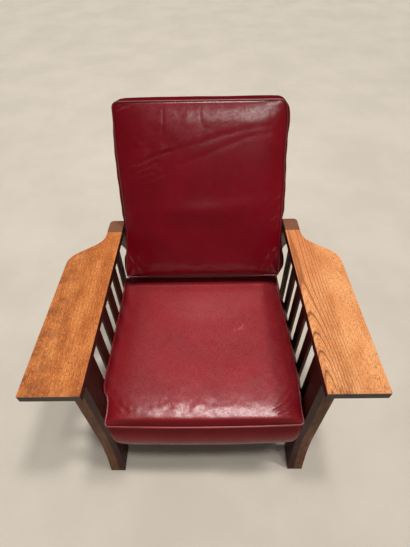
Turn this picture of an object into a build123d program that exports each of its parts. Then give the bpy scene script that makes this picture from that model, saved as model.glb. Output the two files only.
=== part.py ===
from build123d import *
import os
from math import asin, cos, degrees, radians, sin, sqrt, tan

# Mission reclining armchair: slatted oak side frames, broad sloping arms, loose leather cushions
# and a back frame that leans on a rod lying in a pair of notches cut in the raked rear legs.
# Millimetres, +X to the sitter's left hand as seen from the front, +Y to the rear, +Z up.
# While the pieces are drawn, y is 0 at the front edge of the arms and z is 0 on the floor.
# At the end everything moves together, so that the origin is under the middle of the whole chair.

# Arms
arm_height = 640.0            # top of the arm at its front edge, above the floor
arm_slope = 4.2               # degrees down towards the rear
arm_thickness = 25.0
arm_inner_x = 283.0           # inner edge, measured from the middle of the chair
arm_front_width = 147.0
arm_shoulder_flare = 4.5      # how much wider the arm is at its shoulder than at its front edge
arm_shoulder_y = 454.0        # where the outer edge starts its curve
arm_curve_radius = 70.0
arm_curve_angle = 51.0        # degrees turned by each of the two curves
arm_edge_round = 2.0

# Legs
leg_width = 50.0
front_leg_inner_x = 288.0
front_leg_setback = 45.0      # from the front edge of the arm
front_leg_depth = 55.0
foot_flare = 27.0             # how far a foot reaches out past its leg
foot_flare_height = 250.0
rear_leg_inner_x = 284.0
rear_leg_y = 617.0            # where the rear leg's front face meets the top of the arm
rear_leg_depth = 52.0
rear_leg_rake = 35.0          # degrees from upright, foot to the rear
rear_leg_bend_radius = 400.0
rear_leg_bend_height = 150.0  # the leg is upright below this height
rear_foot_flare = 18.0
rear_foot_flare_height = 130.0
leg_corner_round = 12.0       # outer rear corner of the rear leg
leg_edge_round = 2.0
glide_radius = 9.0
glide_height = 3.0
glide_pin_radius = 2.0
glide_pin_length = 14.0

# Rails and slats of the sides
rail_inner_x = 299.0
rail_thickness = 22.0
top_rail_height = 44.0
seat_rail_height = 82.0
slat_thickness = 10.0
slat_width = 39.5
slat_count = 6
first_slat_y = 123.5
last_slat_y = 572.5
slat_tenon = 10.0
slat_clearance = 0.1
rail_housing = 14.0           # how far a side rail is let into the rear leg

# Seat
deck_height = 254.0           # top of the seat boards at deck_front_y
deck_front_y = 105.0
deck_rear_y = 528.0
board_count = 5
board_width = 72.0
board_thickness = 14.0
board_end_gap = 2.0
cleat_size = 20.0
front_rail_y = 73.0
front_rail_thickness = 22.0
front_rail_height = 95.0
front_rail_drop = 24.0        # top of the front rail below the deck line
cross_rail_thickness = 22.0
cross_rail_height = 55.0
cross_rail_y = 470.0
stretcher_height = 60.0
stretcher_thickness = 22.0
stretcher_floor_gap = 175.0

# Back frame, drawn upright about its pivot and then leaned back
recline = 27.6                # degrees from upright, at the lowest notch
pivot_y = 542.0
pivot_height = 185.0
stile_outer_x = 262.0
stile_width = 42.0
frame_thickness = 25.0
stile_tail = 24.0             # below the pivot
frame_length = 798.0          # above the pivot
crest_height = 90.0
low_rail_height = 60.0
low_rail_start = 60.0
back_rail_thickness = 20.0
back_slat_count = 5
back_slat_height = 45.0
back_slat_thickness = 10.0
back_slat_tenon = 14.0

# Pivots
bolt_radius = 5.0
bolt_head_radius = 11.0
bolt_head_height = 4.0
bolt_nut_radius = 9.0
bolt_nut_height = 7.0
running_clearance = 0.06
washer_radius = 13.0
washer_thickness = 2.0
face_clearance = 0.3
pivot_block_length = 90.0
pivot_block_height = 60.0

# Support rod and notches
rod_radius = 9.0
rod_seat_depth = 9.5          # centre of the rod inside the rear face of the leg
rod_clearance = 0.3
rod_overhang = 14.0
rod_cap_radius = 12.0
rod_cap_length = 12.0
rod_spigot_radius = 4.0
rod_spigot_length = 8.0
notch_count = 3
notch_pitch = 36.0
notch_mouth = 40.0

# Screws and pegs
screw_radius = 2.2
screw_head_radius = 4.5
screw_head_height = 1.6
screw_count = 4
peg_radius = 4.0
peg_length = 22.0

# Cushions
cover_thickness = 2.5
welt_radius = 3.5
seat_front_y = 34.0
seat_length = 532.0
seat_half_width = 297.0
seat_height = 150.0
seat_crown = 40.0
back_cushion_start = 226.0    # along the back frame, above the pivot
back_cushion_length = 590.0
back_cushion_half_width = 269.0
back_cushion_thickness = 110.0
back_cushion_crown = 30.0
side_bulge = 4.0

# Each row: place along the length, half width, underside, seam, crown and side bulge, as shares
# of the cushion's length, half width, height, height, crown and bulge. The seat's front hangs
# over the front rail, and its rear leans back along the back frame.
seat_shares = (
    (0.000, 0.905, -0.255, 0.590, 0.05, 0.10),
    (0.012, 0.936, -0.310, 0.650, 0.19, 0.12),
    (0.030, 0.951, -0.320, 0.730, 0.38, 0.12),
    (0.045, 0.953, -0.312, 0.790, 0.50, 0.12),
    (0.072, 0.954, -0.145, 0.850, 0.62, 0.12),
    (0.121, 0.954, -0.040, 0.940, 0.74, 0.12),
    (0.133, 0.975, 0.000, 0.960, 0.77, 0.40),
    (0.150, 0.997, 0.000, 0.975, 0.80, 1.00),
    (0.280, 1.000, 0.000, 1.000, 0.93, 1.00),
    (0.550, 0.999, 0.000, 1.015, 1.00, 1.00),
    (0.780, 0.992, 0.000, 1.005, 0.84, 1.00),
    (0.900, 0.982, 0.000, 0.995, 0.58, 0.90),
    (0.946, 0.974, 0.000, 0.990, 0.43, 0.70),
    (0.964, 0.966, 0.280, 0.985, 0.35, 0.40),
    (0.984, 0.955, 0.600, 0.975, 0.22, 0.20),
    (1.000, 0.925, 0.840, 0.960, 0.08, 0.05),
)
back_shares = (
    (0.000, 0.900, 0.260, 0.780, 0.02, 0.20),
    (0.013, 0.945, 0.080, 0.945, 0.08, 0.50),
    (0.026, 0.970, 0.000, 0.985, 0.20, 0.80),
    (0.050, 1.008, 0.000, 1.000, 0.40, 1.00),
    (0.115, 1.018, 0.000, 1.000, 0.66, 1.20),
    (0.260, 1.012, 0.000, 1.000, 0.88, 1.20),
    (0.500, 1.004, 0.000, 1.000, 1.00, 1.20),
    (0.740, 1.007, 0.000, 1.000, 0.92, 1.20),
    (0.890, 1.018, 0.000, 1.000, 0.64, 1.20),
    (0.950, 1.016, 0.000, 1.000, 0.40, 1.00),
    (0.974, 0.985, 0.000, 0.985, 0.20, 0.80),
    (0.987, 0.955, 0.080, 0.945, 0.08, 0.50),
    (1.000, 0.905, 0.260, 0.780, 0.02, 0.20),
)
seat_welt_rows = (0, 15)      # rows where the welts cross the width
back_welt_rows = (2, 10)

# Worked out from the sizes above
slope = radians(arm_slope)
rake = radians(rear_leg_rake)
lean = radians(recline)
arm_drop = arm_thickness / cos(slope)
front_leg_back_y = front_leg_setback + front_leg_depth
rear_leg_outer_x = rear_leg_inner_x + leg_width
far = arm_height + rear_leg_y
nodes = {}


def arm_top(y):
    """Height of the arms' top face at y."""
    return arm_height - tan(slope) * y


def deck_top(y):
    """Height of the seat boards' top face at y; the seat slopes as the arms do."""
    return deck_height - tan(slope) * (y - deck_front_y)


def cleat_top(y):
    """Height of the cleats' top face at y, right under the seat boards."""
    return deck_top(y) - board_thickness


def block(x0, x1, y0, y1, z0, z1):
    """Box between two corners."""
    return Pos((x0 + x1) / 2, (y0 + y1) / 2, (z0 + z1) / 2) * Box(x1 - x0, y1 - y0, z1 - z0)


def carry(outline, x0, x1):
    """Closed side-view outline carried across from x0 to x1."""
    return extrude(Plane.YZ.offset(x0) * make_face(outline), x1 - x0)


def plate(points, x0, x1):
    """Straight-sided plate from x0 to x1, its side view given as (y, z) points."""
    return carry(Polyline(*points, close=True), x0, x1)


def rod_along_x(radius, x0, x1, y, z):
    """Round bar from x0 to x1, with its axis through (y, z)."""
    return Pos((x0 + x1) / 2, y, z) * Rot(Y=90) * Cylinder(radius, x1 - x0)


def between(low, high, count, k):
    """The k-th of count places from low to high, evenly spaced."""
    return low + (high - low) * k / (count - 1)


def flare(y, height, reach):
    """Three points of the arc that leaves an upright face at y and ends on the floor."""
    radius = (height**2 + reach**2) / (2 * abs(reach))
    sweep = asin(height / radius)
    side = reach / abs(reach)
    return [(y + side * radius * (1 - cos(sweep * share)), height - radius * sin(sweep * share))
            for share in (0, 1 / 2, 1)]


def both_sides(name, part):
    """File a piece of the right-hand side frame and its mirror image on the left."""
    nodes["right_" + name] = part
    nodes["left_" + name] = mirror(part, about=Plane.YZ)


def pair(part):
    """Two like fasteners, one on each side, as one group of separate solids."""
    return Compound(children=[Part() + part, Part() + mirror(part, about=Plane.YZ)])


# Rear leg: raked from the arm, bending upright towards the floor, with a flared foot
bend_y = rear_leg_y + tan(rake) * (
    arm_top(rear_leg_y) - rear_leg_bend_height - rear_leg_bend_radius * sin(rake)
) + rear_leg_bend_radius * (1 - cos(rake))
bend_centre = (bend_y - rear_leg_bend_radius, rear_leg_bend_height)


def on_bend(radius, angle):
    """Point of the rear leg's bend, at an angle up from the floor's direction."""
    return (bend_centre[0] + radius * cos(angle), bend_centre[1] + radius * sin(angle))


def raked_top(y, z):
    """Where a line through (y, z) with the leg's rake meets the arms' top plane."""
    run = (arm_top(y) - z) / (cos(rake) - sin(rake) * tan(slope))
    return (y - sin(rake) * run, z + cos(rake) * run)


front_radius = rear_leg_bend_radius
rear_radius = rear_leg_bend_radius + rear_leg_depth
front_start = on_bend(front_radius, rake)
rear_start = on_bend(rear_radius, rake)
front_end = on_bend(front_radius, 0)
rear_end = on_bend(rear_radius, 0)
foot_start, foot_middle, foot_end = flare(rear_end[0], rear_foot_flare_height, rear_foot_flare)
rear_outline = Curve() + [
    Line(raked_top(*front_start), front_start),
    ThreePointArc(front_start, on_bend(front_radius, rake / 2), front_end),
    Line(front_end, (front_end[0], 0)),
    Line((front_end[0], 0), foot_end),
    ThreePointArc(foot_end, foot_middle, foot_start),
    Line(foot_start, rear_end),
    ThreePointArc(rear_end, on_bend(rear_radius, rake / 2), rear_start),
    Line(rear_start, raked_top(*rear_start)),
    Line(raked_top(*rear_start), raked_top(*front_start)),
]
rear_leg = carry(rear_outline, rear_leg_inner_x, rear_leg_outer_x)
outer_edges = rear_leg.edges().group_by(Axis.X)[-1]
rear_points = [Vector(rear_leg_outer_x, *point) for point in (rear_start, rear_end, foot_start)]
rounded = [edge for edge in outer_edges
           if min((end - point).length for end in (edge @ 0, edge @ 1) for point in rear_points)
           < leg_edge_round]
rear_leg = fillet(rounded, leg_corner_round)

# Notches: slots parallel to the back frame, cut in from the rear face of each rear leg
along_back = (sin(lean), cos(lean))
off_back = (cos(lean), -sin(lean))
face_y, face_z = rear_start
inset = (-cos(rake) * rod_seat_depth, -sin(rake) * rod_seat_depth)
contact = frame_thickness / 2 + rod_clearance + rod_radius


def notch_centre(k):
    """Rod centre in the k-th notch, counted up from the lowest."""
    # The lowest lies where the rod both touches the leaning frame and is sunk in the leg.
    line_y = pivot_y + off_back[0] * contact
    line_z = pivot_height + off_back[1] * contact
    start_y, start_z = face_y + inset[0], face_z + inset[1]
    turn = sin(lean) * cos(rake) + cos(lean) * sin(rake)
    run = ((line_y - start_y) * cos(lean) - (line_z - start_z) * sin(lean)) / -turn
    step = run + k * notch_pitch
    return (start_y - sin(rake) * step, start_z + cos(rake) * step)


slot_radius = rod_radius + rod_clearance
for k in range(notch_count):
    cy, cz = notch_centre(k)
    slot = Pos(0, cy, cz) * Rot(X=-recline) * (
        rod_along_x(slot_radius, 0, far, 0, 0)
        + block(0, far, -slot_radius, slot_radius, 0, notch_mouth)
    )
    rear_leg -= slot
both_sides("rear_leg", rear_leg)

# Front leg: straight above, its front face curving forward to the floor
toe = front_leg_setback - foot_flare
leg_top_front = (front_leg_setback, arm_top(front_leg_setback) - arm_drop)
leg_top_back = (front_leg_back_y, arm_top(front_leg_back_y) - arm_drop)
ankle, instep, toe_tip = flare(front_leg_setback, foot_flare_height, -foot_flare)
front_outline = Curve() + [
    Line(leg_top_front, leg_top_back),
    Line(leg_top_back, (front_leg_back_y, 0)),
    Line((front_leg_back_y, 0), toe_tip),
    ThreePointArc(toe_tip, instep, ankle),
    Line(ankle, leg_top_front),
]
front_leg = carry(front_outline, front_leg_inner_x, front_leg_inner_x + leg_width)
both_sides("front_leg", front_leg)

# Arm: plan outline with an S-shaped outer edge, cut from a sloping board
shoulder_x = arm_inner_x + arm_front_width + arm_shoulder_flare
turn = radians(arm_curve_angle)
tail_x = rear_leg_outer_x
bulge_centre = (shoulder_x - arm_curve_radius, arm_shoulder_y)
bulge_end = (bulge_centre[0] + arm_curve_radius * cos(turn),
             bulge_centre[1] + arm_curve_radius * sin(turn))
hollow_start_x = tail_x + arm_curve_radius * (1 - cos(turn))
straight_run = (bulge_end[0] - hollow_start_x) / sin(turn)
hollow_start = (hollow_start_x, bulge_end[1] + straight_run * cos(turn))
hollow_centre = (tail_x + arm_curve_radius, hollow_start[1] + arm_curve_radius * sin(turn))
hollow_end = (tail_x, hollow_centre[1])
outline = Curve() + [
    Line((arm_inner_x, 0), (arm_inner_x + arm_front_width, 0)),
    Line((arm_inner_x + arm_front_width, 0), (shoulder_x, arm_shoulder_y)),
    ThreePointArc((shoulder_x, arm_shoulder_y),
                  (bulge_centre[0] + arm_curve_radius * cos(turn / 2),
                   bulge_centre[1] + arm_curve_radius * sin(turn / 2)), bulge_end),
    Line(bulge_end, hollow_start),
    ThreePointArc(hollow_start,
                  (hollow_centre[0] - arm_curve_radius * cos(turn / 2),
                   hollow_centre[1] - arm_curve_radius * sin(turn / 2)), hollow_end),
    Line(hollow_end, (tail_x, rear_leg_y + arm_front_width)),
    Line((tail_x, rear_leg_y + arm_front_width), (arm_inner_x, rear_leg_y + arm_front_width)),
    Line((arm_inner_x, rear_leg_y + arm_front_width), (arm_inner_x, 0)),
]
arm_blank = extrude(make_face(outline), far)
board_side = [
    (0, arm_top(0)),
    (0, arm_top(0) - arm_drop),
    (rear_leg_y + tan(rake) * arm_drop, arm_top(rear_leg_y + tan(rake) * arm_drop) - arm_drop),
    raked_top(*front_start),
]
arm = arm_blank & plate(board_side, 0, far)
both_sides("arm", arm - rear_leg)

# Rails of the side frames, their rear ends housed in the leg
housed = block(0, far, 0, far, 0, far) - rear_leg
rail_outer_x = rail_inner_x + rail_thickness


def side_rail(top, height, y1):
    """Sloping rail from the front leg to y1 under the height given by top."""
    y0 = front_leg_back_y
    return plate([(y0, top(y0)), (y1, top(y1)), (y1, top(y1) - height), (y0, top(y0) - height)],
                 rail_inner_x, rail_outer_x)


def under_arm(y):
    """Height of the arms' under face at y."""
    return arm_top(y) - arm_drop


slat_inner_x = rail_inner_x + (rail_thickness - slat_thickness) / 2
slat_outer_x = slat_inner_x + slat_thickness
top_rail = side_rail(under_arm, top_rail_height, rear_leg_y + tan(rake) * arm_drop) - rear_leg
seat_rail = side_rail(deck_top, seat_rail_height, bend_y + rail_housing) - rear_leg
slats = []
mortises = []
for k in range(slat_count):
    y0 = between(first_slat_y, last_slat_y, slat_count, k)
    y1 = y0 + slat_width
    slats.append(plate([
        (y0, under_arm(y0) - top_rail_height + slat_tenon),
        (y1, under_arm(y1) - top_rail_height + slat_tenon),
        (y1, deck_top(y1) - slat_tenon),
        (y0, deck_top(y0) - slat_tenon),
    ], slat_inner_x, slat_outer_x))
    gap = slat_clearance
    y0, y1 = y0 - gap, y1 + gap
    mortises.append(plate([
        (y0, under_arm(y0) - top_rail_height + slat_tenon + gap),
        (y1, under_arm(y1) - top_rail_height + slat_tenon + gap),
        (y1, deck_top(y1) - slat_tenon - gap),
        (y0, deck_top(y0) - slat_tenon - gap),
    ], slat_inner_x - gap, slat_outer_x + gap))
for mortise in mortises:
    top_rail -= mortise
    seat_rail -= mortise

# Pivot: a bolt through the stile into a block screwed to the seat rail
block_inner_x = stile_outer_x + washer_thickness + 2 * face_clearance
pivot_block = block(block_inner_x, rail_inner_x,
                    pivot_y - pivot_block_length / 2, pivot_y + pivot_block_length / 2,
                    pivot_height - pivot_block_height / 2, pivot_height + pivot_block_height / 2)
pivot_block &= plate([(0, 0), (far, 0), (far, cleat_top(far)), (0, cleat_top(0))], 0, far)
stile_inner_x = stile_outer_x - stile_width
bolt = rod_along_x(bolt_radius, stile_inner_x - face_clearance, rail_outer_x + bolt_nut_height,
                   pivot_y, pivot_height)
bolt_hole = rod_along_x(bolt_radius, 0, far, pivot_y, pivot_height)
bolt += rod_along_x(bolt_head_radius, stile_inner_x - face_clearance - bolt_head_height,
                    stile_inner_x - face_clearance, pivot_y, pivot_height)
nut = rod_along_x(bolt_nut_radius, rail_outer_x, rail_outer_x + bolt_nut_height,
                  pivot_y, pivot_height)
washer_x = stile_outer_x + face_clearance
washer = rod_along_x(washer_radius, washer_x, washer_x + washer_thickness, pivot_y, pivot_height)
nodes["pivot_bolts"] = pair(bolt)
nodes["pivot_nuts"] = pair(nut - bolt_hole)
nodes["pivot_washers"] = pair(washer - bolt_hole)
both_sides("pivot_block", pivot_block - bolt_hole)
both_sides("top_rail", top_rail)
both_sides("seat_rail", seat_rail - bolt_hole)
for k, slat in enumerate(slats):
    both_sides(f"side_slat_{k + 1}", slat)

# Seat deck: cleats on the seat rails, boards across them, and the cross rails
board_half = rail_inner_x - board_end_gap
for k in range(board_count):
    y0 = between(deck_front_y, deck_rear_y - board_width, board_count, k)
    y1 = y0 + board_width
    nodes[f"seat_board_{k + 1}"] = plate([
        (y0, deck_top(y0)), (y1, deck_top(y1)),
        (y1, deck_top(y1) - board_thickness), (y0, deck_top(y0) - board_thickness),
    ], -board_half, board_half)
cleat_y1 = pivot_y - pivot_block_length / 2 - cleat_size
cleat_y0 = deck_front_y

cleat = plate([
    (cleat_y0, cleat_top(cleat_y0)), (cleat_y1, cleat_top(cleat_y1)),
    (cleat_y1, cleat_top(cleat_y1) - cleat_size), (cleat_y0, cleat_top(cleat_y0) - cleat_size),
], rail_inner_x - cleat_size, rail_inner_x)
front_rail_top = deck_top(front_rail_y) - front_rail_drop
nodes["front_rail"] = block(-front_leg_inner_x, front_leg_inner_x,
                            front_rail_y, front_rail_y + front_rail_thickness,
                            front_rail_top - front_rail_height, front_rail_top)
cross_top = cleat_top(cross_rail_y + cross_rail_thickness)
cross_rail = block(-rail_inner_x, rail_inner_x, cross_rail_y, cross_rail_y + cross_rail_thickness,
                   cross_top - cross_rail_height, cross_top)
nodes["rear_stretcher"] = block(-rear_leg_inner_x, rear_leg_inner_x,
                                bend_y + (rear_leg_depth - stretcher_thickness) / 2,
                                bend_y + (rear_leg_depth + stretcher_thickness) / 2,
                                stretcher_floor_gap - stretcher_height, stretcher_floor_gap)
nodes["cross_rail"] = cross_rail - cleat - mirror(cleat, about=Plane.YZ)

# Screws that hold the cleats to the seat rails
screws = []
for k in range(screw_count):
    y = between(cleat_y0 + cleat_size, cleat_y1 - cleat_size, screw_count, k)
    z = cleat_top(y) - cleat_size / 2
    x0 = rail_inner_x - cleat_size
    screws.append(rod_along_x(screw_radius, x0, rail_outer_x - screw_head_radius, y, z)
                  + rod_along_x(screw_head_radius, x0 - screw_head_height, x0, y, z))
for screw in screws:
    cleat -= screw
    nodes["right_seat_rail"] -= screw
    nodes["left_seat_rail"] -= mirror(screw, about=Plane.YZ)
both_sides("seat_cleat", cleat)
nodes["cleat_screws"] = Compound(children=[
    s for screw in screws for s in (Part() + screw, Part() + mirror(screw, about=Plane.YZ))])

# Glides under the four feet lift the wood off the floor by their own height
feet = []
for y in ((toe + front_leg_back_y) / 2, (front_end[0] + foot_end[0]) / 2):
    for inner_x in (front_leg_inner_x if y < rear_leg_y else rear_leg_inner_x,):
        x = inner_x + leg_width / 2
        glide = Pos(x, y, -glide_height / 2) * Cylinder(glide_radius, glide_height)
        glide += Pos(x, y, glide_pin_length / 2) * Cylinder(glide_pin_radius, glide_pin_length)
        feet += [glide, mirror(glide, about=Plane.YZ)]
for name in ("front_leg", "rear_leg"):
    for side in ("left_", "right_"):
        for glide in feet:
            nodes[side + name] -= glide
nodes["foot_glides"] = Compound(children=[Part() + glide for glide in feet])

# Back frame, drawn upright: x across, y through its thickness, z up from the pivot
back_place = Pos(0, pivot_y, pivot_height) * Rot(X=-recline)
half_frame = frame_thickness / 2
stile = block(stile_inner_x, stile_outer_x, -half_frame, half_frame, -stile_tail, frame_length)
stile -= rod_along_x(bolt_radius + running_clearance, 0, far, 0, 0)
crest = block(-stile_inner_x, stile_inner_x, -back_rail_thickness / 2, back_rail_thickness / 2,
              frame_length - crest_height, frame_length)
low_rail = block(-stile_inner_x, stile_inner_x, -back_rail_thickness / 2,
                 back_rail_thickness / 2, low_rail_start, low_rail_start + low_rail_height)
slat_low = low_rail_start + low_rail_height
slat_high = frame_length - crest_height
slat_gap = (slat_high - slat_low - back_slat_count * back_slat_height) / (back_slat_count + 1)
for k in range(back_slat_count):
    z0 = slat_low + slat_gap + k * (back_slat_height + slat_gap)
    reach = stile_inner_x + back_slat_tenon
    slat = block(-reach, reach, -half_frame, -half_frame + back_slat_thickness,
                 z0, z0 + back_slat_height)
    stile -= slat
    nodes[f"back_slat_{k + 1}"] = back_place * slat
nodes["crest_rail"] = back_place * crest
nodes["low_back_rail"] = back_place * low_rail
nodes["right_back_stile"] = back_place * stile
nodes["left_back_stile"] = mirror(nodes["right_back_stile"], about=Plane.YZ)

# Support rod with a cap pressed on each end
rod_y, rod_z = notch_centre(0)
rod_end_x = rear_leg_outer_x + rod_overhang
rod = rod_along_x(rod_radius, -rod_end_x, rod_end_x, rod_y, rod_z)
cap = rod_along_x(rod_cap_radius, rod_end_x, rod_end_x + rod_cap_length, rod_y, rod_z)
spigot = rod_along_x(rod_spigot_radius, rod_end_x - rod_spigot_length, rod_end_x, rod_y, rod_z)
cap += spigot
rod = rod - spigot - mirror(spigot, about=Plane.YZ)
nodes["support_rod"] = rod
both_sides("rod_cap", cap)


# Cushions: sections across the width, lofted along the length
def sections(shares, length, half_width, height, crown, skin):
    """Rows of sizes for each section, drawn in by the thickness of the skin."""
    rows = []
    for k, (at, wide, under, seam, dome, bulge) in enumerate(shares):
        end = skin * ((k == 0) - (k == len(shares) - 1))
        rows.append((at * length + end, wide * half_width - skin, under * height + skin,
                     seam * height - skin, dome * crown, bulge * side_bulge))
    return rows


def soft_block(rows):
    """Loft through sections with a flat underside, bulging sides and a crowned top."""
    wires = []
    for y, half, under, seam, dome, bulge in rows:
        middle = (under + seam) / 2
        wires.append(Wire([
            Line((-half, y, under), (half, y, under)).edge(),
            ThreePointArc((half, y, under), (half + bulge, y, middle), (half, y, seam)).edge(),
            ThreePointArc((half, y, seam), (0, y, seam + dome), (-half, y, seam)).edge(),
            ThreePointArc((-half, y, seam), (-half - bulge, y, middle),
                          (-half, y, under)).edge(),
        ]))
    return Solid.make_loft(wires, ruled=True)


def welt_ring(rows, level):
    """Round cord round the cushion at the height that level gives, as two half rings."""
    first, last = rows[0], rows[-1]
    path = [Vector(0, first[0], level(first)),
            Vector(first[1] - 2 * welt_radius, first[0], level(first))]
    path += [Vector(row[1], row[0], level(row)) for row in rows[1:-1]]
    path += [Vector(last[1] - 2 * welt_radius, last[0], level(last)),
             Vector(0, last[0], level(last))]
    rings = []
    for k, point in enumerate(path):
        before = point - path[max(k - 1, 0)]
        after = path[min(k + 1, len(path) - 1)] - point
        if k in (0, len(path) - 1):
            tangent = Vector(1 if k == 0 else -1, 0, 0)
        else:
            tangent = (before.normalized() + after.normalized()).normalized()
        plane = Plane(point, x_dir=tangent.cross(Vector(0, 0, 1)), z_dir=tangent)
        rings.append(Wire.make_circle(welt_radius, plane))
    half = Solid.make_loft(rings, ruled=True)
    return [Part() + half, Part() + mirror(half, about=Plane.YZ)]


def cushion(name, sizes, welt_rows, place):
    """Cover, filling and two welts of one cushion."""
    rows = sections(*sizes, 0)
    outer = Part() + soft_block(rows)
    filling = Part() + soft_block(sections(*sizes, cover_thickness))
    ring = rows[welt_rows[0]:welt_rows[1] + 1]
    top = welt_ring(ring, lambda row: row[3])
    low = welt_ring(ring, lambda row: row[2] + 2 * welt_radius)
    cover = outer - filling
    for half in top + low:
        cover -= half
        filling -= half
    nodes[name + "_cover"] = place * cover
    nodes[name + "_filling"] = place * filling
    nodes[name + "_top_welt"] = place * Compound(children=top)
    nodes[name + "_low_welt"] = place * Compound(children=low)


cushion("seat", (seat_shares, seat_length, seat_half_width, seat_height, seat_crown),
        seat_welt_rows, Pos(0, seat_front_y, deck_top(seat_front_y)) * Rot(X=-arm_slope))
cushion("back", (back_shares, back_cushion_length, back_cushion_half_width,
                 back_cushion_thickness, back_cushion_crown),
        back_welt_rows, back_place * Pos(0, -half_frame, back_cushion_start) * Rot(X=90))

# The origin goes under the middle of the chair, on the floor
whole = Compound(children=[Part() + part for part in nodes.values()]).bounding_box()
shift = Pos(-whole.center().X, -whole.center().Y, -whole.min.Z)
os.makedirs("parts", exist_ok=True)
for name, part in nodes.items():
    export_step(shift * part, f"parts/{name}.step")
print("whole size", whole.size, "shift", shift.position)
print("nodes", len(nodes))
pivot = shift.position + Vector(0, pivot_y, pivot_height)
print("pivot", pivot, "rod", shift.position + Vector(0, rod_y, rod_z))
print("rod axis", along_back, "arm top front", shift.position.Y)
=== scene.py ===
"""Looks of a slatted oak armchair with loose leather cushions and a back that reclines.

The wood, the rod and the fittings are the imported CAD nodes, with a finish each, and the wood's
sharp edges are eased. Both cushions and their welts are new surfaces. Lengths are in metres, in
the CAD frame, unless a name ends in mm. Places on a cushion are given in millimetres: across from
its middle line, along it from its front or lower end, and up from its under face.
"""

import logging
from dataclasses import dataclass
from enum import Enum
from typing import Callable, Optional, Sequence, Union

import bpy
import numpy as np
from mathutils import Matrix, Vector


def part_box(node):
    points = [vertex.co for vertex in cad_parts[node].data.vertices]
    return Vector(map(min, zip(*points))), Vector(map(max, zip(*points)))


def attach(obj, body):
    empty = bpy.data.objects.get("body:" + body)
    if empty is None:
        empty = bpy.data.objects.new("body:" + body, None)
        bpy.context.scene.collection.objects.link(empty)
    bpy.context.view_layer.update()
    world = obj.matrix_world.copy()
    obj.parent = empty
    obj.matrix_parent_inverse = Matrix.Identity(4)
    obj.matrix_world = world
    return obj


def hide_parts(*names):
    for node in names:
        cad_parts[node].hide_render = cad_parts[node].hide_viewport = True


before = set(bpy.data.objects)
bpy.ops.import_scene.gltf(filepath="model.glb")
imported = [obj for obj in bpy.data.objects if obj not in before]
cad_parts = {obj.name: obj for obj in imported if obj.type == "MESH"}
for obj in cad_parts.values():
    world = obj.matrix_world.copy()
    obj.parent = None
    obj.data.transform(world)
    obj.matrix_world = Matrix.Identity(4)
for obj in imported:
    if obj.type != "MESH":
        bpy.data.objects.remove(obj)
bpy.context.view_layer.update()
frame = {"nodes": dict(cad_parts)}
LOG = logging.getLogger("armchair")
MM = 0.001
SLOPE = np.radians(4.2)
RECLINE = np.radians(27.6)
ACROSS, REARWARD, UPWARD = (1.0, 0.0, 0.0), (0.0, 1.0, 0.0), (0.0, 0.0, 1.0)
# Places of a Mix node's sockets for colours, whose names repeat
SHARE, FIRST, SECOND, BLEND = 0, 6, 7, 2

Colour = tuple[float, float, float]
Point = tuple[float, float]
Table = Sequence[Sequence[float]]
Number = Union[float, "Value"]


# Shader writing


class Value:
    """One socket of a shader, on which Python's arithmetic adds Math nodes."""

    def __init__(self, shader: "Shader", socket: bpy.types.NodeSocket) -> None:
        """Keep the shader and the socket."""
        self.shader = shader
        self.socket = socket

    def math(self, operation: str, *others: Number) -> "Value":
        """Apply one Math operation, with this value first."""
        return self.shader.node("Math", {"operation": operation}, [self, *others])

    def __add__(self, other: Number) -> "Value":
        """Sum."""
        return self.math("ADD", other)

    def __sub__(self, other: Number) -> "Value":
        """Difference."""
        return self.math("SUBTRACT", other)

    def __mul__(self, other: Number) -> "Value":
        """Product."""
        return self.math("MULTIPLY", other)

    def __truediv__(self, other: Number) -> "Value":
        """Quotient."""
        return self.math("DIVIDE", other)

    def __pow__(self, other: Number) -> "Value":
        """Power."""
        return self.math("POWER", other)

    def __rsub__(self, other: Number) -> "Value":
        """A number minus this value."""
        return self.shader.node("Math", {"operation": "SUBTRACT"}, [other, self])

    def __abs__(self) -> "Value":
        """Size without sign."""
        return self.math("ABSOLUTE")

    __radd__ = __add__
    __rmul__ = __mul__

    def smooth(self, low: float, high: float) -> "Value":
        """Ease from 0 at low to 1 at high, or the other way round where low is the larger."""
        return self.shader.node("MapRange", {"interpolation_type": "SMOOTHSTEP"}, {
            "Value": self, "From Min": low, "From Max": high})

    def fraction(self) -> "Value":
        """What stands after the decimal point."""
        return self.math("FRACT")


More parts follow.
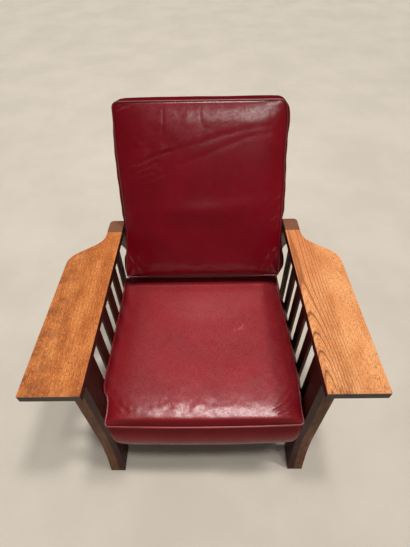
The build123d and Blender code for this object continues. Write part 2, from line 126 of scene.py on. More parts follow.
class Shader:
    """A material or world whose nodes come from one method."""

    def __init__(self, name: str, group: str = "materials") -> None:
        """Start an empty node tree.

        Args:
            name: The material's name.
            group: Which of Blender's data groups it joins.
        """
        self.owner = getattr(bpy.data, group).new(name)
        self.owner.use_nodes = True
        self.tree = self.owner.node_tree
        self.tree.nodes.clear()

    def node(self, kind: str, settings: Optional[dict] = None,
             values: Union[dict, Sequence, None] = None,
             output: Union[int, str] = 0) -> Optional[Value]:
        """Add one node.

        Args:
            kind: The node's type, without the words that all of them start with.
            settings: Its properties, set before its sockets.
            values: Numbers, colours or links for its sockets, by place or by name.
            output: The socket to return.

        Returns:
            The chosen output, or nothing from a node without one.
        """
        made = self.tree.nodes.new("ShaderNode" + kind)
        for key, setting in (settings or {}).items():
            setattr(made, key, setting)
        pairs = values.items() if isinstance(values, dict) else enumerate(values or ())
        for key, value in pairs:
            if isinstance(value, Value):
                self.tree.links.new(value.socket, made.inputs[key])
            else:
                made.inputs[key].default_value = value
        return Value(self, made.outputs[output]) if len(made.outputs) else None

    def place(self) -> Value:
        """Object coordinates."""
        return self.node("TexCoord", output="Object")

    def dot(self, vector: Value, direction: Sequence[float]) -> Value:
        """Distance along a direction."""
        return self.node("VectorMath", {"operation": "DOT_PRODUCT"},
                         [vector, tuple(direction)], "Value")

    def vector(self, x: Number, y: Number, z: Number) -> Value:
        """Vector of three numbers."""
        return self.node("CombineXYZ", None, [x, y, z])

    def noise(self, place: Value, scale: float, detail: float = 2.0, rough: float = 0.5,
              twist: float = 0.0) -> Value:
        """Fractal noise from 0 to 1."""
        return self.node("TexNoise", {"noise_dimensions": "3D"}, {
            "Vector": place, "Scale": scale, "Detail": detail, "Roughness": rough,
            "Distortion": twist})

    def cells(self, place: Value, scale: float) -> Value:
        """Smooth distance field of scattered cells."""
        return self.node("TexVoronoi", {"feature": "SMOOTH_F1"}, {
            "Vector": place, "Scale": scale})

    def attribute(self, name: str) -> Value:
        """A number kept on the piece's own points."""
        return self.node("Attribute", {"attribute_name": name}, None, "Fac")

    def mix(self, share: Number, first: Union[Colour, Value],
            second: Union[Colour, Value]) -> Value:
        """Blend two colours.

        Args:
            share: How much of the second one shows.
            first: A colour, plain or worked out.
            second: Another.

        Returns:
            The blend.
        """
        first, second = (colour if isinstance(colour, Value) else (*colour, 1.0)
                         for colour in (first, second))
        return self.node("Mix", {"data_type": "RGBA"}, {
            SHARE: share, FIRST: first, SECOND: second}, BLEND)

    def finish(self, height: Optional[Value], depth: float, **sockets) -> bpy.types.Material:
        """Join everything in one surface shader.

        Args:
            height: Relief from 0 to 1, or nothing.
            depth: What 1 in the relief stands for, in metres.
            sockets: Values of the surface shader, with _ for a space in a name.

        Returns:
            The finished material.
        """
        values = {key.replace("_", " "): value for key, value in sockets.items()}
        if height is not None:
            values["Normal"] = self.node("Bump", None, {
                "Strength": 1.0, "Distance": depth, "Height": height})
        surface = self.node("BsdfPrincipled", None, values)
        self.node("OutputMaterial", None, {"Surface": surface})
        return self.owner


# Finishes


@dataclass(frozen=True)
class Oak:
    """Oak under satin varnish, its growth rings drawn round a pith that runs beside the board.

    The pith is given by its place across the grain. It sinks away from the surface by the slant
    times the distance past the start, up to the reach. Each ring is as wide as ring says, the
    pith wanders and the rings ripple by the lengths so named, and the strengths say how much of
    the dark colour the lines, pores, dashes and blotches take.
    """

    name: str
    grain: Sequence[float]
    pale: Colour
    warm: Colour
    dark: Colour
    pith: Point = (0.12, -0.05)
    slant: float = 0.03
    start: float = 0.0
    reach: float = 10.0
    reach_blend: float = 0.15
    ring: float = 0.0055
    fine_share: float = 0.36
    wander: float = 0.010
    ripple: float = 0.0014
    line_strength: float = 0.5
    pore_strength: float = 0.5
    dash_strength: float = 0.3
    blotch_strength: float = 0.35
    roughness: float = 0.44
    gloss: float = 0.28
    line_mask: Optional[Callable[["Shader", Value], Value]] = None
    # The wear hook may also paint shade and highlight.
    wear: Optional[Callable[["Shader", Value, Value], Value]] = None

    def axes(self) -> tuple[np.ndarray, np.ndarray, np.ndarray]:
        """Work out the directions of the grain.

        Returns:
            Unit vectors along the grain and two across it.
        """
        along = np.array(self.grain, float)
        along /= np.linalg.norm(along)
        helper = np.array(ACROSS if abs(along[0]) < 0.9 else REARWARD)
        side = helper - along * (helper @ along)
        side /= np.linalg.norm(side)
        return along, side, np.cross(along, side)

    def make(self) -> bpy.types.Material:
        """Build the material.

        Rings are the fraction of the distance from a wandering axis over the ring's width, with
        fainter ones a fine_share as wide between them. Pores and dashes are noise drawn out along
        the grain.

        Returns:
            The material.
        """
        shader = Shader(self.name)
        place = shader.place()
        grain, side_axis, deep_axis = self.axes()
        along = shader.dot(place, grain)
        side = shader.dot(place, side_axis)
        deep = shader.dot(place, deep_axis)
        drift, ripple = (
            shader.noise(shader.vector(side * k, deep * k, along * m), 1.0, 2.0) - 0.5
            for k, m in ((7.0, 3.0), (60.0, 9.0)))
        run = (along - self.start).math("SMOOTH_MIN", self.reach, self.reach_blend)
        x = side - self.pith[0] + drift * self.wander
        y = deep - self.pith[1] - run * self.slant + drift * self.wander
        radius = (x * x + y * y) ** 0.5 + ripple * self.ripple
        ring = (radius / self.ring).fraction()
        line = ring.smooth(0.70, 0.88) * ring.smooth(1.0, 0.93)
        fine = (radius / (self.ring * self.fine_share)).fraction()
        line = line.math("MAXIMUM", fine.smooth(0.55, 0.80) * fine.smooth(1.0, 0.90) * 0.40)
        if self.line_mask:
            line = line * self.line_mask(shader, place)
        early = ring.smooth(0.45, 0.05)
        long = shader.vector(side, deep, along * 0.08)
        pores = shader.noise(long, 620.0, 2.0, 0.65).smooth(0.52, 0.66) * (early * 0.5 + 0.5)
        short = shader.vector(side, deep, along * 0.35)
        dashes = shader.noise(short, 400.0, 3.0, 0.7).smooth(0.50, 0.64)
        sparks = shader.noise(short, 350.0, 3.0, 0.7).smooth(0.54, 0.68)
        cloud = shader.noise(short, 26.0, 4.0, 0.6)
        colour = shader.mix(cloud.smooth(0.30, 0.64), self.pale, self.warm)
        colour = shader.mix(cloud.smooth(0.52, 0.74) * self.blotch_strength, colour, self.dark)
        spark = tuple(min(1.0, c * 1.3) for c in self.pale)
        colour = shader.mix(sparks * self.dash_strength, colour, spark)
        colour = shader.mix(dashes * self.dash_strength, colour, self.dark)
        colour = shader.mix(line * self.line_strength, colour, self.dark)
        colour = shader.mix(pores * self.pore_strength, colour, self.dark)
        # Wear, and on some pieces painted shade and highlight, laid over the grain.
        if self.wear:
            colour = self.wear(shader, place, colour)
        rough = self.roughness + pores * 0.16 + (cloud - 0.5) * 0.14
        relief = 1.0 - pores * 0.6 - line * 0.25 - dashes * 0.15
        return shader.finish(relief, 0.22 * MM, Base_Color=colour, Roughness=rough,
                             Specular_IOR_Level=self.gloss)


@dataclass(frozen=True)
class Leather:
    """Aniline leather: deep red, paler where it is rubbed, with a fine pebbled grain."""

    name: str
    deep: Colour
    bright: Colour
    rubbed: Colour
    roughness: float = 0.42
    gloss: float = 0.5
    ripple: float = 0.3
    crumple: float = 0.15
    coat: float = 1.0
    coat_roughness: float = 0.20
    coat_ior: float = 1.5

    def make(self) -> bpy.types.Material:
        """Build the material.

        The relief is a cell pattern a millimetre wide, creasing a few millimetres wide, soft
        ripples a centimetre wide and broad unevenness. The attribute named wear rubs the colour
        paler. The shade attribute is painted shade that darkens it, and a third attribute takes
        off the gloss and also darkens the colour as painted shade.

        Returns:
            The material.
        """
        shader = Shader(self.name)
        place = shader.place()
        cloud = shader.noise(place, 9.0, 4.0, 0.55)
        patch = shader.noise(place, 38.0, 3.0, 0.6)
        speck = shader.noise(place, 420.0, 2.0, 0.6)
        pebble = shader.cells(place, 850.0)
        grain = shader.noise(place, 230.0, 3.0, 0.6, 0.4)
        soft = shader.noise(place, 75.0, 2.0, 0.5, 0.6)
        fold = shader.noise(place, 22.0, 2.0, 0.5, 0.4)
        wear = shader.attribute("wear")
        shade = shader.attribute("shade")
        dull_and_shaded = shader.attribute("dull_and_shaded")
        colour = shader.mix(cloud.smooth(0.32, 0.68) * 0.75 + patch * 0.25, self.deep,
                            self.bright)
        colour = shader.mix(speck.smooth(0.58, 0.75) * 0.22, colour, self.deep)
        # Painted shade: the shade attribute, and the attribute that also takes off the gloss,
        # darken the colour towards this shadow colour.
        shadow = tuple(c * 0.35 for c in self.deep)
        colour = shader.mix(shade, colour, shadow)
        colour = shader.mix(dull_and_shaded * 0.58, colour, shadow)
        colour = shader.mix(wear, colour, self.rubbed)
        rough = self.roughness + (patch - 0.5) * 0.14 + (speck - 0.5) * 0.06 + dull_and_shaded * 0.30
        worn = grain.smooth(0.39, 0.61) * 0.80 + patch.smooth(0.35, 0.60) * 0.20
        coat = (worn * 0.66 + 0.34) * (1.0 - dull_and_shaded) * self.coat
        relief = (pebble * 0.05 + speck * 0.03 + grain * self.crumple
                  + soft * (0.28 * self.ripple) + fold * self.ripple)
        return shader.finish(relief, 1.2 * MM, Base_Color=colour, Roughness=rough,
                             Specular_IOR_Level=self.gloss, Coat_Weight=coat,
                             Coat_Roughness=self.coat_roughness, Coat_IOR=self.coat_ior)


@dataclass(frozen=True)
class Steel:
    """Plain steel, a little brushed and dulled with age."""

    name: str
    colour: Colour = (0.42, 0.41, 0.40)
    tarnish: Colour = (0.16, 0.13, 0.10)
    roughness: float = 0.36

    def make(self) -> bpy.types.Material:
        """Build the material.

        Returns:
            The material.
        """
        shader = Shader(self.name)
        place = shader.place()
        stain = shader.noise(place, 160.0, 4.0, 0.6)
        brushed = shader.vector(*(shader.dot(place, axis) * scale for axis, scale in (
            (ACROSS, 40.0), (REARWARD, 900.0), (UPWARD, 900.0))))
        scratch = shader.noise(brushed, 1.0, 1.0)
        colour = shader.mix(stain.smooth(0.5, 0.8) * 0.5, self.colour, self.tarnish)
        return shader.finish(scratch, 0.03 * MM, Base_Color=colour, Metallic=1.0,
                             Roughness=self.roughness + stain * 0.2)


# Meshes


def read_table(x: np.ndarray, table: Table, column: int) -> np.ndarray:
    """Read a table of places and sizes smoothly, never beyond its own values.

    Args:
        x: Places to read at.
        table: Rows that start with a place, in rising order.
        column: Which size to read.

    Returns:
        Cubic pieces through the rows, their slopes the harmonic mean of the runs on both sides.
    """
    rows = np.array(table, float)
    places, sizes = rows[:, 0], rows[:, column]
    run = np.diff(places)
    steep = np.diff(sizes) / run
    slope = np.zeros(len(places))
    same = steep[1:] * steep[:-1] > 0
    mean = 2 * steep[1:] * steep[:-1] / np.where(same, steep[1:] + steep[:-1], 1.0)
    slope[1:-1] = np.where(same, mean, 0.0)
    slope[0], slope[-1] = steep[0], steep[-1]
    k = np.clip(np.searchsorted(places, x) - 1, 0, len(run) - 1)
    t = np.clip((x - places[k]) / run[k], 0, 1)
    return (sizes[k] * (1 + 2 * t) * (1 - t) ** 2 + sizes[k + 1] * t**2 * (3 - 2 * t)
            + run[k] * (slope[k] * t * (1 - t) ** 2 - slope[k + 1] * t**2 * (1 - t)))


def make_object(name: str, points: np.ndarray, faces: np.ndarray,
                marks: Optional[dict[str, np.ndarray]] = None) -> bpy.types.Object:
    """Put arrays into a smooth mesh object.

    Args:
        name: The piece's name.
        points: Places in metres, one row each.
        faces: Corner numbers, four to a row; a triangle repeats its last corner.
        marks: Numbers per point, by attribute name.

    Returns:
        The object, at the origin.
    """
    mesh = bpy.data.meshes.new(name)
    quads = faces[faces[:, 2] != faces[:, 3]]
    triangles = faces[faces[:, 2] == faces[:, 3]][:, :3]
    corners = np.concatenate([quads.ravel(), triangles.ravel()])
    sides = np.concatenate([np.full(len(quads), 4), np.full(len(triangles), 3)])
    mesh.vertices.add(len(points))
    mesh.vertices.foreach_set("co", points.astype(np.float32).ravel())
    mesh.loops.add(len(corners))
    mesh.loops.foreach_set("vertex_index", corners.astype(np.int32))
    mesh.polygons.add(len(sides))
    mesh.polygons.foreach_set("loop_start", (np.cumsum(sides) - sides).astype(np.int32))
    mesh.polygons.foreach_set("use_smooth", np.ones(len(sides), bool))
    mesh.update(calc_edges=True)
    for key, numbers in (marks or {}).items():
        mesh.attributes.new(key, "FLOAT", "POINT").data.foreach_set(
            "value", numbers.astype(np.float32))
    made = bpy.data.objects.new(name, mesh)
    bpy.context.scene.collection.objects.link(made)
    return made


def grid_faces(rows: np.ndarray, closed: bool = False) -> np.ndarray:
    """Faces between neighbouring rows of point numbers.

    Args:
        rows: Point numbers, one row of the grid each.
        closed: Whether each row joins up with its own start.

    Returns:
        Four corners to a row, turning right-handed about the rows' cross direction.
    """
    ahead = np.roll(rows, -1, 1) if closed else rows[:, 1:]
    here = rows if closed else rows[:, :-1]
    return np.stack([here[:-1], ahead[:-1], ahead[1:], here[1:]], -1).reshape(-1, 4)


def tube(path: np.ndarray, radius: float, sides: int = 10) -> tuple[np.ndarray, np.ndarray]:
    """Closed ring of round section along a closed path.

    Args:
        path: Points of the path, the last next to the first.
        radius: The section's radius.
        sides: Corners of the section.

    Returns:
        Points and faces: each point is the path's point plus the radius times the cosine and sine
        of the angle along two directions square to the path.
    """
    tangent = np.roll(path, -1, 0) - np.roll(path, 1, 0)
    tangent /= np.linalg.norm(tangent, axis=1, keepdims=True)
    middle = path.mean(0)
    lift = np.cross(path - middle, tangent).mean(0)
    lift /= np.linalg.norm(lift)
    outward = np.cross(tangent, lift)
    outward /= np.linalg.norm(outward, axis=1, keepdims=True)
    lifted = np.cross(outward, tangent)
    angle = np.linspace(0, 2 * np.pi, sides, endpoint=False)[None, :, None]
    ring = path[:, None] + radius * (np.cos(angle) * outward[:, None]
                                     + np.sin(angle) * lifted[:, None])
    numbers = np.arange(len(path) * sides).reshape(len(path), sides)
    rows = np.concatenate([numbers, numbers[:1]])
    return ring.reshape(-1, 3), grid_faces(rows, closed=True)


# Cushions


class Side(Enum):
    """Which way a crease throws up its lip, seen along its points."""

    NONE = 0
    LEFT = 1
    RIGHT = -1


@dataclass(frozen=True)
class Crease:
    """A valley along a line on a cushion's face, fading out at its ends.

    Its lip stands away from the line and is wide and high by the shares so named, of the
    crease's width and depth.
    """

    points_mm: tuple[Point, ...]
    depth_mm: float
    width_mm: float
    lip: Side = Side.NONE
    lip_away: float = 2.1
    lip_width: float = 1.3
    lip_height: float = 0.5

    def height(self, across: np.ndarray, along: np.ndarray) -> np.ndarray:
        """Height that the crease adds, in millimetres.

        A bell curve of the distance from the line, less deep towards the line's ends, and a
        second, raised one beside it on the side of the lip.

        Args:
            across: Places across the cushion.
            along: Places along it.

        Returns:
            Heights, negative in a valley.
        """
        line = np.array(self.points_mm, float)
        start, run = line[:-1], np.diff(line, axis=0)
        length = np.hypot(run[:, 0], run[:, 1])
        ahead = np.concatenate([[0.0], np.cumsum(length)])
        place = np.stack([across.ravel(), along.ravel()], -1)[:, None] - start
        share = np.clip((place * run).sum(-1) / length**2, 0, 1)
        gap = place - share[..., None] * run
        distance = np.hypot(gap[..., 0], gap[..., 1])
        best = distance.argmin(1)
        pick = np.arange(len(best))
        near = distance[pick, best]
        side = run[best, 0] * gap[pick, best, 1] - run[best, 1] * gap[pick, best, 0]
        travelled = (ahead[best] + share[pick, best] * length[best]) / ahead[-1]
        fade = np.clip(4 * travelled * (1 - travelled), 0, 1) ** 0.6
        fade = np.where((travelled <= 0) | (travelled >= 1), 0.0, fade)
        bell = np.exp(-((near / self.width_mm) ** 2))
        beyond = near - self.lip_away * self.width_mm
        lip = np.exp(-((beyond / (self.lip_width * self.width_mm)) ** 2))
        lip = lip * (np.sign(side) == self.lip.value) * self.lip_height
        return (self.depth_mm * fade * (lip - bell)).reshape(across.shape)


def ripples(across: np.ndarray, along: np.ndarray, waves: int = 26, seed: int = 5,
            longest: float = 80.0, shortest: float = 22.0) -> np.ndarray:
    """Uneven ripples, about 1 high, of waves in all directions.

    The sum of sines of places turned by a different angle each, every phase shifted by a slow
    sine of the other direction, so that no wave runs straight.

    Args:
        across: Places across the cushion, in millimetres.
        along: Places along it.
        waves: How many sines.
        seed: Which set of angles.
        longest: Length of the longest wave, in millimetres.
        shortest: Length of the shortest.

    Returns:
        Heights.
    """
    random = np.random.default_rng(seed)
    total = np.zeros(across.shape)
    lengths = np.geomspace(longest, shortest, waves)
    for length, angle, phase in zip(lengths, random.uniform(0, np.pi, waves),
                                    random.uniform(0, 2 * np.pi, (waves, 2))):
        here = across * np.cos(angle) + along * np.sin(angle)
        beside = along * np.cos(angle) - across * np.sin(angle)
        bend = 1.8 * np.sin(beside * 2 * np.pi / (2.7 * length) + phase[0])
        total += np.sin(here * 2 * np.pi / length + phase[1] + bend) * length / longest
    return total / np.sqrt(waves)


@dataclass
class Cushion:
    """A boxed leather cushion: crowned face, puffed sides, plain under face and two welts.

    The seam tables hold rows of place along, left edge, right edge and height. The spine and
    under tables hold the height of the face and of the under face on the middle line. The puff
    table holds how far the left and right sides swell past the seams, and end_puff how far the
    ends do. Swells and rumples are rows of place across and along, width, length and height.
    draw is how far from a corner the boxing is drawn in, to the share corner_puff of its swell,
    and bow is how far the first seam stands out in its middle.
    """

    name: str
    body: str
    origin: Vector
    along: Vector
    up: Vector
    seam_mm: Table
    low_seam_mm: Table
    spine_mm: Table
    under_mm: Table
    puff_mm: Table
    end_puff_mm: Point
    puff_peak: float
    corner_mm: Point
    roll_mm: float
    leather: Leather
    welt_leather: Leather
    creases: Sequence[Crease] = ()
    marks: Sequence[Crease] = ()
    # Lines of painted shade that darken the face.
    shades: Sequence[Crease] = ()
    swells: Table = ()
    rumples: Table = ()
    draw_mm: float = 32.0
    corner_puff: float = 0.25
    slack_mm: float = 0.6
    bow_mm: float = 0.0
    bow_reach_mm: float = 60.0
    seam_reach_mm: float = 7.0
    # Where the leather loses its gloss and takes painted shade: the face up to a place along, and
    # the boxing.
    dull_and_shaded_mm: float = 0.0
    dull_and_shaded_fade_mm: float = 12.0
    low_dull_and_shaded: float = 1.0
    welt_mm: float = 3.2
    welt_out: float = 0.3
    fill: float = 0.85
    columns: int = 210
    rows: int = 200
    boxing_rows: int = 22
    under_rows: int = 12

    def place(self, local: np.ndarray) -> np.ndarray:
        """Turn local millimetres into metres in the CAD frame.

        Args:
            local: Across, along and up, one row each.

        Returns:
            The same points, from the origin along the cushion's three directions.
        """
        axes = np.array([ACROSS, self.along, self.up])
        return np.array(self.origin) + local @ axes * MM

    def edge(self, table: Table, share: np.ndarray) -> tuple[np.ndarray, ...]:
        """Read a seam table, its corners rounded.

        Args:
            table: One of the seam tables.
            share: Places along, from 0 to 1.

        Returns:
            Place along, left edge, right edge and height. A corner draws the edges in by what a
            circle's quadrant leaves of the corner's radius.
        """
        first, last = table[0][0], table[-1][0]
        place = first + share * (last - first)
        left, right = read_table(place, table, 1), read_table(place, table, 2)
        end = np.minimum(place - first, last - place)
        radius = np.where(share < 0.5, *self.corner_mm)
        short = np.clip(radius - end, 0, None)
        inset = radius - np.sqrt(np.clip(radius**2 - short**2, 0, None))
        return place, left + inset, right - inset, read_table(place, table, 3)

    @staticmethod
    def dense_ends(count: int) -> np.ndarray:
        """Shares from 0 to 1 that crowd towards both ends."""
        even = np.linspace(0, 1, count)
        return 0.4 * even + 0.6 * (1 - np.cos(np.pi * even)) / 2

    def spread(self, table: Table) -> tuple[np.ndarray, ...]:
        """Lay the cushion's rows and columns out between a table's seams.

        The first end is pushed outward in its middle, less and less further along.

        Args:
            table: One of the seam tables.

        Returns:
            Each column's share of the way from the middle to a side, from -1 to 1, each row's
            place along, half width and seam height, and grids of place across and place along.
        """
        share = self.dense_ends(self.columns)[None] * 2 - 1
        place, left, right, height = (
            v[:, None] for v in self.edge(table, self.dense_ends(self.rows)))
        half = (right - left) / 2
        along = np.repeat(place, self.columns, 1)
        bow = self.bow_mm * (1 - share**2) * np.exp((along[0] - along) / self.bow_reach_mm)
        return share, place, half, height, (left + right) / 2 + share * half, along - bow

    def face(self) -> np.ndarray:
        """Points of the crowned face.

        From each side seam the height goes over to the spine's, by one minus an exponential of
        the distance. Creases, swells and patches of ripples are added to that, and fade out at
        the seams.

        Returns:
            Rows of points, one row for each place along.
        """
        share, place, half, seam, across, along = self.spread(self.seam_mm)
        to_side = half * (1 - abs(share))
        rise = (1 - np.exp(-to_side / self.roll_mm)) * (1 - 0.10 * share**4)
        height = seam + (read_table(place, self.spine_mm, 1) - seam) * rise
        inner = np.minimum(np.minimum(to_side, along - along[0]), along[-1] - along)
        mask = 1 - np.exp(-((inner / self.seam_reach_mm) ** 2))
        for crease in self.creases:
            height = height + crease.height(across, along) * mask
        for patches, relief in ((self.swells, 1.0), (self.rumples, ripples(across, along))):
            for x, y, wide, long, high in patches:
                bell = np.exp(-(((across - x) / wide) ** 2) - ((along - y) / long) ** 2)
                height = height + high * bell * mask * relief
        return np.stack([across, along, height], -1)

    def low_face(self) -> np.ndarray:
        """Points level with the lower seam, point for point below the face."""
        _, _, _, height, across, along = self.spread(self.low_seam_mm)
        return np.stack([across, along, np.repeat(height, self.columns, 1)], -1)

    @staticmethod
    def border(face: np.ndarray) -> tuple[np.ndarray, np.ndarray]:
        """Go round a face's edge, turning left-handed.

        Args:
            face: Rows of points.

        Returns:
            Numbers and places of the points on its edge.
        """
        numbers = np.arange(face[..., 0].size).reshape(face.shape[:2])
        loop = np.concatenate([numbers[0, :-1], numbers[:-1, -1], numbers[-1, :0:-1],
                               numbers[:0:-1, 0]])
        return loop, face.reshape(-1, 3)[loop]

    @staticmethod
    def outward(loop: np.ndarray, reach: int = 3) -> np.ndarray:
        """Find the directions away from a closed line, level with the cushion's under face.

        Args:
            loop: Points of the line.
            reach: How many points ahead and behind give the line's direction.

        Returns:
            Unit vectors, square to that direction.
        """
        ahead = np.roll(loop, -reach, 0) - np.roll(loop, reach, 0)
        away = np.stack([ahead[:, 1], -ahead[:, 0], np.zeros(len(loop))], -1)
        return away / np.linalg.norm(away, axis=1, keepdims=True)

    def puff(self, top: np.ndarray) -> np.ndarray:
        """How far the boxing swells at each point of the upper seam.

        The end's and the side's own figures, blended by which way the seam faces, and drawn in
        near the four corners by one minus an exponential of the distance to the corner. Slack
        adds waves about 70 mm long, their phase shifted by the place across.

        Args:
            top: The upper seam.

        Returns:
            Swell in millimetres.
        """
        away = self.outward(top)
        along = top[:, 1]
        side = np.where(away[:, 0] < 0, read_table(along, self.puff_mm, 1),
                        read_table(along, self.puff_mm, 2))
        end = np.where(away[:, 1] < 0, *self.end_puff_mm)
        on_end = away[:, 1] ** 2
        to_side = abs(top[:, 0]).max() - abs(top[:, 0])
        to_end = np.minimum(along - self.seam_mm[0][0], self.seam_mm[-1][0] - along)
        to_corner = on_end * to_side + (1 - on_end) * to_end
        near = 1 - np.exp(-np.clip(to_corner, 0, None) / self.draw_mm)
        slack = self.slack_mm * np.sin(along * 0.09 + 1.3 * np.sin(top[:, 0] * 0.021))
        drawn = self.corner_puff + (1 - self.corner_puff) * near
        return (side * (1 - on_end) + end * on_end) * drawn + slack * near

    def boxing(self, top: np.ndarray, low: np.ndarray) -> np.ndarray:
        """Rows of the band between both seams, without the seams themselves.

        Each row is a share of the way down, pushed out by a flattened sine of that share.

        Args:
            top: The upper seam.
            low: The lower seam.

        Returns:
            One row of points for each step down.
        """
        share = np.linspace(0, 1, self.boxing_rows + 2)[1:-1, None, None]
        swell = np.sin(np.pi * share**self.puff_peak) ** 0.8 * self.puff(top)[:, None]
        return top * (1 - share) + low * share + self.outward(top) * swell

    def under(self, low: np.ndarray) -> np.ndarray:
        """Rows of the under face, shrinking from the lower seam to the middle.

        Over the first eighth of the way the height goes over to the under table's.

        Args:
            low: The lower seam.

        Returns:
            One row of points for each step inward.
        """
        share = np.linspace(0, 1, self.under_rows + 2)[1:-1, None, None] ** 1.2
        rows = low * (1 - share) + low.mean(0) * share
        flat = read_table(rows[..., 1], self.under_mm, 1)
        ease = np.clip(share[..., 0] * 8, 0, 1)
        rows[..., 2] = rows[..., 2] * (1 - ease) + flat * ease
        return rows

    def wear(self, face: np.ndarray, count: int, rings: int) -> dict[str, np.ndarray]:
        """Say where the leather is rubbed, where shade is painted on it and where it loses gloss.

        Marks rub the face, and shades paint shade on it, by their depth. Along the face the loss
        of gloss, which darkens the colour as painted shade too, fades over its fade length and
        ends at its limit. The boxing loses its gloss wholly a fifth of the way down, and by the
        low share from four fifths on.

        Args:
            face: Rows of points.
            count: How many points the cushion has.
            rings: How many closed rows of them lie below the face, before the last point.

        Returns:
            Numbers from 0 to 1 for every point, by attribute name.
        """
        across, along = face[..., 0], face[..., 1]
        numbers = {"wear": np.zeros(count), "shade": np.zeros(count)}
        for key, lines in (("wear", self.marks), ("shade", self.shades)):
            for line in lines:
                numbers[key][:across.size] -= line.height(across, along).ravel()
        dull_and_shaded = np.ones(count)
        dull_and_shaded[:across.size] = ((self.dull_and_shaded_mm - along) / self.dull_and_shaded_fade_mm).ravel()
        down = np.clip(np.arange(rings) / self.boxing_rows * 1.6 - 0.3, 0, 1)
        each = (count - 1 - across.size) // rings
        dull_and_shaded[across.size:-1] = np.repeat(1 - (1 - self.low_dull_and_shaded) * down, each)
        return {key: np.clip(v, 0, 1) for key, v in {**numbers, "dull_and_shaded": dull_and_shaded}.items()}

    def dress(self, made: bpy.types.Object, leather: Leather, slot: str, *nodes: str) -> None:
        """Give a piece its leather and let it ride in the place of its nodes.

        Args:
            made: The piece.
            leather: Its finish.
            slot: Not used.
            nodes: Ends of the names of the CAD nodes that it stands for.
        """
        made.data.materials.append(leather.make())
        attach(made, self.body)
        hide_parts(*(f"{self.name}_{node}" for node in nodes))
        LOG.info("%s: %d points", made.name, len(made.data.vertices))

    def build(self) -> None:
        """Make the cushion and its welts."""
        face = self.face()
        loop, top = self.border(face)
        low = self.border(self.low_face())[1]
        rings = np.concatenate([self.boxing(top, low), low[None], self.under(low)])
        local = np.concatenate([face.reshape(-1, 3), rings.reshape(-1, 3),
                                rings[-1].mean(0)[None]])
        numbers = np.arange(face[..., 0].size).reshape(face.shape[:2])
        around = np.arange(rings[..., 0].size).reshape(rings.shape[:2]) + numbers.size
        last, ahead = around[-1], np.roll(around[-1], -1)
        centre = np.full(len(last), len(local) - 1)
        faces = np.concatenate([
            grid_faces(numbers),
            grid_faces(np.concatenate([loop[None], around]), closed=True)[:, ::-1],
            np.stack([ahead, last, centre, centre], -1),
        ])
        made = make_object(self.name + "_cushion", self.place(local), faces,
                           self.wear(face, len(local), len(rings)))
        self.dress(made, self.leather, "leather", "cover", "filling")
        self.welt("top", top)
        self.welt("low", low)

    def welt(self, which: str, seam: np.ndarray) -> None:
        """Lay a welt along a seam.

        Args:
            which: The seam's name in the CAD nodes.
            seam: The seam's points.
        """
        path = self.place(seam + self.outward(seam) * self.welt_mm * self.welt_out)
        length = np.linalg.norm(np.diff(path, axis=0), axis=1)
        apart = np.concatenate([[True], length > 0.5 * MM])
        points, faces = tube(path[apart], self.welt_mm * MM)
        marks = dict.fromkeys(("wear", "shade", "dull_and_shaded"), np.zeros(len(points)))
        made = make_object(f"{self.name}_{which}_cord", points, faces, marks)
        self.dress(made, self.welt_leather, "leather_welt", which + "_welt")


# The chair


